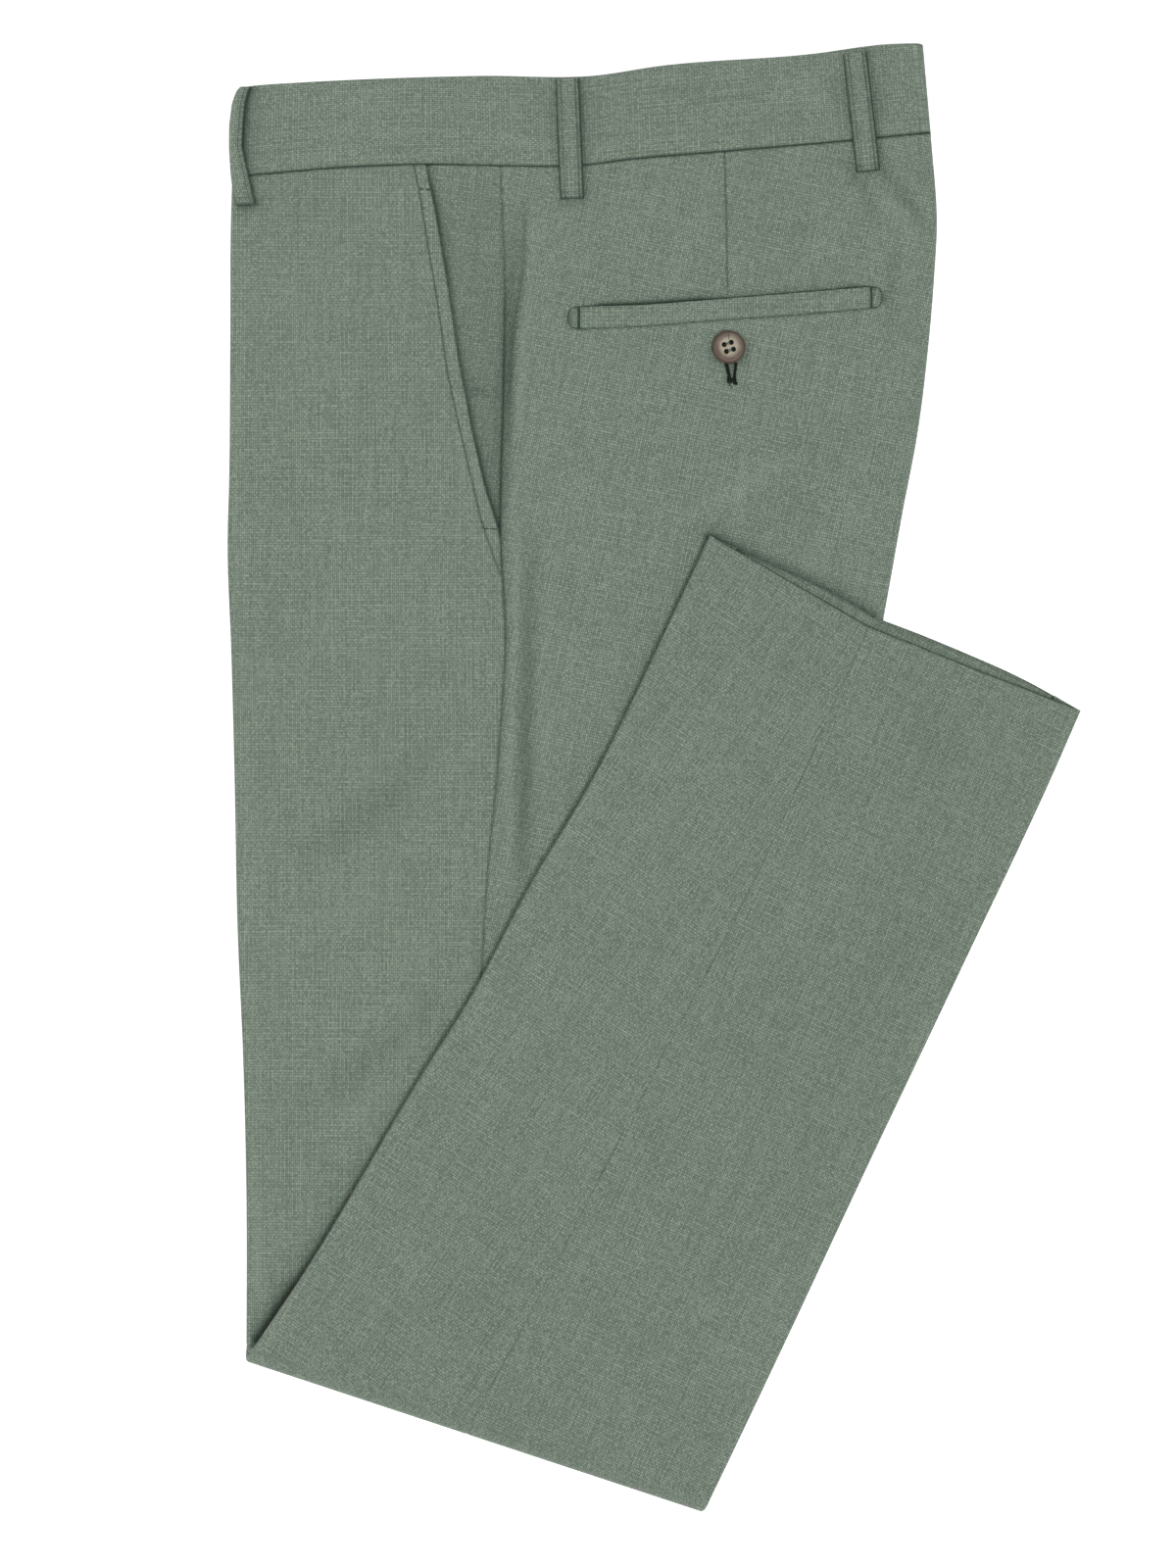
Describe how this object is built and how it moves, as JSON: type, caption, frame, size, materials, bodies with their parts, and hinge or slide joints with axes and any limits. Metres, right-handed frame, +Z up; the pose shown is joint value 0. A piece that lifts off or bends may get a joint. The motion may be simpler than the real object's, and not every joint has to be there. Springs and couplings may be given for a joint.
{
  "type": "suit trousers, folded flat",
  "caption": "Plain-woven suit trousers lying flat, folded on the centre line and at the knee, with waistband, belt loops, slant pocket and buttoned hip pocket.",
  "frame": {"origin": "middle of the garment's outline on the surface that it lies on", "axes": "+X from the front crease towards the seat, +Y from the knee fold towards the waistband, +Z up out of the surface"},
  "size_m": [0.3918, 0.6731, 0.0154],
  "materials": {
    "suiting": "matt sage-green melange wool blend in an open plain weave",
    "band_suiting": "the same cloth, stiffened and pressed",
    "button": "brown imitation horn, polished rim and a paler satin dish"
  },
  "bodies": {
    "root": {"left_front": "suiting", "left_back": "suiting", "left_side_piece": "suiting", "right_front": "suiting", "right_back": "suiting", "right_side_piece": "suiting", "folded_layers": "suiting", "waistband_left": "band_suiting", "waistband_right": "band_suiting", "belt_loop_left_front": "band_suiting", "belt_loop_left_side": "band_suiting", "belt_loop_left_back": "band_suiting", "belt_loop_right_front": "band_suiting", "belt_loop_right_side": "band_suiting", "belt_loop_right_back": "band_suiting", "back_pocket_welt": "band_suiting", "back_pocket_button": "button"}
  },
  "joints": []
}
